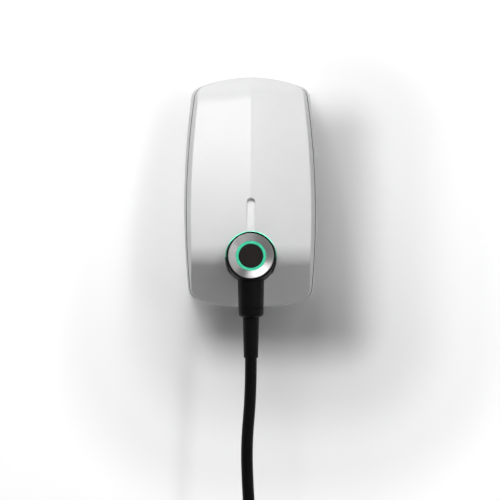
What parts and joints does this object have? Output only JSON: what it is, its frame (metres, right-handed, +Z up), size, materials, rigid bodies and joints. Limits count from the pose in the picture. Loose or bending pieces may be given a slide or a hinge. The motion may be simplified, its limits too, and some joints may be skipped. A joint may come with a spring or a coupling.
{
  "type": "ev wallbox",
  "caption": "Home charging station for electric cars: creased white wall housing on a dock, black plug head with metal bezel and light ring, and a fixed cable with vehicle connector.",
  "frame": {"origin": "centre of the four wall holes, on the wall plane behind the housing", "axes": "+Z up, +Y into the wall, so the front faces -Y; +X to the right seen from the front"},
  "size_m": [0.2772, 0.1631, 0.9195],
  "materials": {
    "white_shell": "satin",
    "black_plastic": "fine grain",
    "black_gloss": "polished",
    "bezel_metal": "turned",
    "mint_light": "lit diffuser",
    "soft_rubber": "matt",
    "cable_jacket": "matt",
    "strap_webbing": "woven",
    "contact_brass": "silvered",
    "screw_steel": "zinc plated",
    "dock_plastic": "moulded",
    "circuit_board": "lacquered",
    "module_black": "moulded",
    "module_grey": "moulded",
    "can_metal": "drawn",
    "sensor_blue": "moulded",
    "wire_cover": "satin",
    "led_lens": "clear"
  },
  "bodies": {
    "root": {"front_cover": "white_shell", "rear_housing": "white_shell", "plug_housing": "black_plastic", "gland_collar": "black_plastic", "connector_grip": "black_plastic", "connector_nose": "black_plastic", "contact_socket": "black_plastic", "centre_disc": "black_gloss", "bezel_ring": "bezel_metal", "light_ring": "mint_light", "glow_guide": "mint_light", "bend_sleeve": "soft_rubber", "connector_boot": "soft_rubber", "connector_cap": "soft_rubber", "inlet_grommet": "soft_rubber", "housing_gasket": "soft_rubber", "charging_cable": "cable_jacket", "cable_tail": "cable_jacket", "cable_coil": "cable_jacket", "coil_straps": "strap_webbing", "contact_pins": "contact_brass", "socket_contacts": "contact_brass", "station_blades": "contact_brass", "connector_contacts": "contact_brass", "terminal_screws": "screw_steel", "plug_lock_screw": "screw_steel", "board_screws": "screw_steel", "housing_screws": "screw_steel", "lock_screws": "screw_steel", "board_spacers": "screw_steel", "wall_dock": "dock_plastic", "led_board": "circuit_board", "light_ring_board": "circuit_board", "reader_coil": "circuit_board", "power_board": "circuit_board", "control_board": "circuit_board", "relays": "module_black", "energy_meter": "module_black", "control_chips": "module_black", "dock_connector": "module_black", "station_connector": "module_black", "connector_insert": "module_black", "terminal_block": "module_grey", "output_terminals": "module_grey", "transformer": "module_grey", "antenna": "module_grey", "capacitors": "can_metal", "radio_module": "can_metal", "leakage_sensor": "sensor_blue", "dock_wires": "wire_cover", "socket_wires": "wire_cover", "ribbon_cable": "wire_cover", "glow_leds": "led_lens"}
  },
  "joints": []
}
